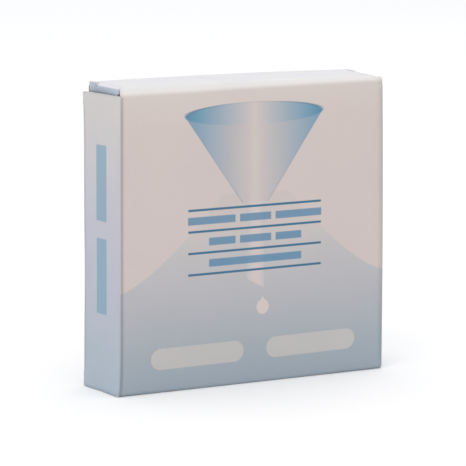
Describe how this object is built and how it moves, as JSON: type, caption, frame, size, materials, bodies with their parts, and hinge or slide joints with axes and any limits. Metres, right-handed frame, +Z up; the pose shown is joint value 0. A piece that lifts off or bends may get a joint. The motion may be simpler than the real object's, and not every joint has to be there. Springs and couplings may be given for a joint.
{
  "type": "filter paper carton",
  "caption": "Flat folding carton of round laboratory filter papers; lids with tuck flaps open both ends, dust flaps swing out and the papers slide out.",
  "frame": {"origin": "middle of the carton's base, on the surface it stands on", "axes": "+Z up, -Y out of the front panel, +X along the front to the viewer's right"},
  "size_m": [0.095, 0.022, 0.095],
  "materials": {
    "printed_board": "clay-coated white boxboard with pale blue print, satin",
    "board": "clay-coated white boxboard, plain, satin outside and matt grey inside",
    "adhesive": "dried carton adhesive",
    "filter_paper": "soft fibrous uncoated paper"
  },
  "bodies": {
    "sleeve": {"front_panel": "printed_board", "top_panel": "printed_board", "back_panel": "printed_board", "bottom_panel": "printed_board", "glue_flap": "board", "glue_line": "adhesive"},
    "left_lid": {"left_lid": "printed_board"},
    "left_tuck_flap": {"left_tuck_flap": "board"},
    "left_top_dust_flap": {"left_top_dust_flap": "board"},
    "left_bottom_dust_flap": {"left_bottom_dust_flap": "board"},
    "right_lid": {"right_lid": "printed_board"},
    "right_tuck_flap": {"right_tuck_flap": "board"},
    "right_top_dust_flap": {"right_top_dust_flap": "board"},
    "right_bottom_dust_flap": {"right_bottom_dust_flap": "board"},
    "filter_stack": {"filter_stack": "filter_paper"},
    "rear_circle": {"rear_circle": "filter_paper"}
  },
  "joints": [
    {"name": "left_lid_hinge", "type": "hinge", "parent": "sleeve", "child": "left_lid", "pos_m": [-0.0473, -0.0108, 0.0464], "axis": [0, 0, 1], "range_deg": [0, 170]},
    {"name": "left_tuck_crease", "type": "hinge", "parent": "left_lid", "child": "left_tuck_flap", "pos_m": [-0.0473, 0.0101, 0.0464], "axis": [0, 0, 1], "range_deg": [0, 34]},
    {"name": "left_top_dust_crease", "type": "hinge", "parent": "sleeve", "child": "left_top_dust_flap", "pos_m": [-0.0467, 0.0003, 0.0948], "axis": [0, 1, 0], "range_deg": [0, 100]},
    {"name": "left_bottom_dust_crease", "type": "hinge", "parent": "sleeve", "child": "left_bottom_dust_flap", "pos_m": [-0.0467, 0.0003, 0.0002], "axis": [0, -1, 0], "range_deg": [0, 88]},
    {"name": "right_lid_hinge", "type": "hinge", "parent": "sleeve", "child": "right_lid", "pos_m": [0.0473, -0.0108, 0.0464], "axis": [0, 0, -1], "range_deg": [0, 170]},
    {"name": "right_tuck_crease", "type": "hinge", "parent": "right_lid", "child": "right_tuck_flap", "pos_m": [0.0473, 0.0101, 0.0464], "axis": [0, 0, -1], "range_deg": [0, 34]},
    {"name": "right_top_dust_crease", "type": "hinge", "parent": "sleeve", "child": "right_top_dust_flap", "pos_m": [0.0467, 0.0003, 0.0948], "axis": [0, -1, 0], "range_deg": [0, 100]},
    {"name": "right_bottom_dust_crease", "type": "hinge", "parent": "sleeve", "child": "right_bottom_dust_flap", "pos_m": [0.0467, 0.0003, 0.0002], "axis": [0, 1, 0], "range_deg": [0, 88]},
    {"name": "stack_slide", "type": "slide", "parent": "sleeve", "child": "filter_stack", "axis": [-1, 0, 0], "range_m": [0, 0.0196]},
    {"name": "rear_circle_slide", "type": "slide", "parent": "sleeve", "child": "rear_circle", "axis": [-1, 0, 0], "range_m": [0, 0.0445]}
  ],
  "couplings": [
    {"joint": "right_tuck_crease", "follows": "right_lid_hinge", "ratio": 0.2},
    {"joint": "right_top_dust_crease", "follows": "right_lid_hinge", "ratio": 0.588},
    {"joint": "right_bottom_dust_crease", "follows": "right_lid_hinge", "ratio": 0.5176},
    {"joint": "left_lid_hinge", "follows": "stack_slide", "rad_per_m": 151.1},
    {"joint": "left_tuck_crease", "follows": "stack_slide", "rad_per_m": 30.22},
    {"joint": "left_top_dust_crease", "follows": "stack_slide", "rad_per_m": 88.847},
    {"joint": "left_bottom_dust_crease", "follows": "stack_slide", "rad_per_m": 78.209},
    {"joint": "rear_circle_slide", "follows": "stack_slide", "ratio": 2.266}
  ]
}
